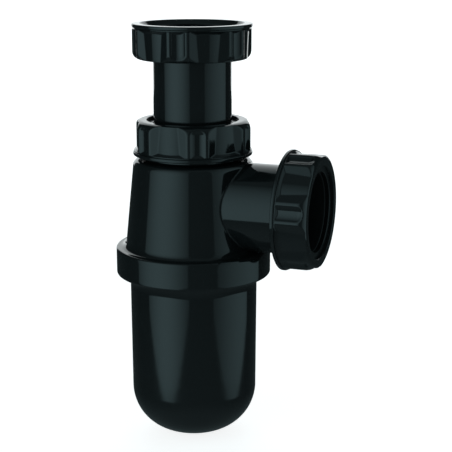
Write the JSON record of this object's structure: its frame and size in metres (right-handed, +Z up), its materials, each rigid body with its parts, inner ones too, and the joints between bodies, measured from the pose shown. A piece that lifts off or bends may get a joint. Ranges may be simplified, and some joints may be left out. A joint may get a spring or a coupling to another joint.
{
  "type": "basin trap",
  "caption": "Telescopic bottle trap for a wash basin: nuts and seals at inlet, neck and side outlet, and a screw-off bottle that holds the water seal",
  "frame": {"origin": "on the trap's axis, at the top face of the inlet washer, where the end of the basin waste lands", "axes": "+Z up out of the inlet, +X out of the side outlet"},
  "size_m": [0.0948, 0.0696, 0.1879],
  "materials": {
    "black_plastic": "smooth moulded polypropylene, glossy black",
    "slip_ring_plastic": "smooth moulded plastic, glossy black",
    "black_rubber": "smooth black rubber, slightly dull"
  },
  "bodies": {
    "inlet_nut": {"inlet_nut": "black_plastic"},
    "tail": {"inlet_tail": "black_plastic", "inlet_washer": "black_rubber"},
    "neck_seal": {"neck_cone_seal": "black_rubber"},
    "housing": {"trap_housing": "black_plastic", "outlet_cone_seal": "black_rubber"},
    "neck_ring": {"neck_slip_ring": "slip_ring_plastic"},
    "neck_nut": {"neck_nut": "black_plastic"},
    "outlet_ring": {"outlet_slip_ring": "slip_ring_plastic"},
    "outlet_nut": {"outlet_nut": "black_plastic"},
    "bottle_seal": {"bottle_seal": "black_rubber"},
    "bottle": {"bottle": "black_plastic"}
  },
  "joints": [
    {"name": "tail_turn", "type": "hinge", "parent": "inlet_nut", "child": "tail", "pos_m": [0, 0, 0], "axis": [0, 0, 1], "continuous": true},
    {"name": "tail_slide", "type": "slide", "parent": "tail", "child": "neck_seal", "axis": [0, 0, 1], "range_m": [-0.03, 0.017]},
    {"name": "body_turn", "type": "hinge", "parent": "neck_seal", "child": "housing", "pos_m": [0, 0, -0.0705], "axis": [0, 0, 1], "continuous": true},
    {"name": "neck_ring_lift", "type": "slide", "parent": "housing", "child": "neck_ring", "axis": [0, 0, 1], "range_m": [0, 0.009]},
    {"name": "neck_nut_turn", "type": "hinge", "parent": "neck_ring", "child": "neck_nut", "pos_m": [0, 0, -0.0405], "axis": [0, 0, 1], "range_deg": [0, 1080]},
    {"name": "outlet_ring_draw", "type": "slide", "parent": "housing", "child": "outlet_ring", "axis": [1, 0, 0], "range_m": [0, 0.009]},
    {"name": "outlet_nut_turn", "type": "hinge", "parent": "outlet_ring", "child": "outlet_nut", "pos_m": [0.052, 0, -0.0705], "axis": [1, 0, 0], "range_deg": [0, 1080]},
    {"name": "bottle_seal_drop", "type": "slide", "parent": "housing", "child": "bottle_seal", "axis": [0, 0, -1], "range_m": [0, 0.007]},
    {"name": "bottle_turn", "type": "hinge", "parent": "bottle_seal", "child": "bottle", "pos_m": [0, 0, -0.1], "axis": [0, 0, -1], "range_deg": [0, 720]}
  ],
  "couplings": [
    {"joint": "neck_ring_lift", "follows": "neck_nut_turn", "m_per_rad": 0.00047746},
    {"joint": "outlet_ring_draw", "follows": "outlet_nut_turn", "m_per_rad": 0.00047746},
    {"joint": "bottle_seal_drop", "follows": "bottle_turn", "m_per_rad": 0.00055704}
  ]
}
